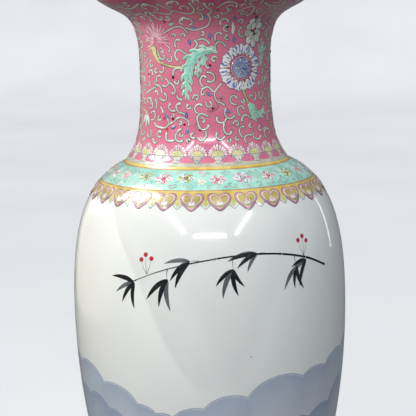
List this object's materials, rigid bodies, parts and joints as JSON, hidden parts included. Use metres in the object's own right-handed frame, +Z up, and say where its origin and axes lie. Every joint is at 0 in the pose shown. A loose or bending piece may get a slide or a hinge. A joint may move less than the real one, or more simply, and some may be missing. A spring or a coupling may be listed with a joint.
{
  "type": "porcelain vase",
  "caption": "Tall baluster porcelain vase with a flared mouth, straight neck, rounded shoulder, long tapering body and a turned foot ring, in rose and white glaze.",
  "frame": {"origin": "centre of the foot, in the plane that the vase stands on", "axes": "+Z up along the vase's axis of turning; -Y is the side that faces the viewer in the picture"},
  "size_m": [0.233, 0.233, 0.61],
  "materials": {
    "white_glaze": "glossy clear glaze over white porcelain",
    "rose_enamel": "glossy rose overglaze enamel",
    "bare_slip": "unglazed fired porcelain slip, matt",
    "turquoise_enamel": "glossy turquoise overglaze enamel",
    "yellow_enamel": "glossy ochre yellow overglaze enamel",
    "blue_wash": "thin pale blue enamel wash"
  },
  "bodies": {
    "root": {"foot_ring": "white_glaze", "floor_disc": "white_glaze", "lower_body": "white_glaze", "middle_body": "white_glaze", "shoulder": "white_glaze", "neck": "rose_enamel", "flared_mouth": "rose_enamel", "slip_under_floor": "bare_slip", "slip_on_foot": "bare_slip", "slip_at_lower_body": "bare_slip", "slip_at_shoulder": "bare_slip", "slip_at_neck": "bare_slip", "slip_at_mouth": "bare_slip"}
  },
  "joints": []
}
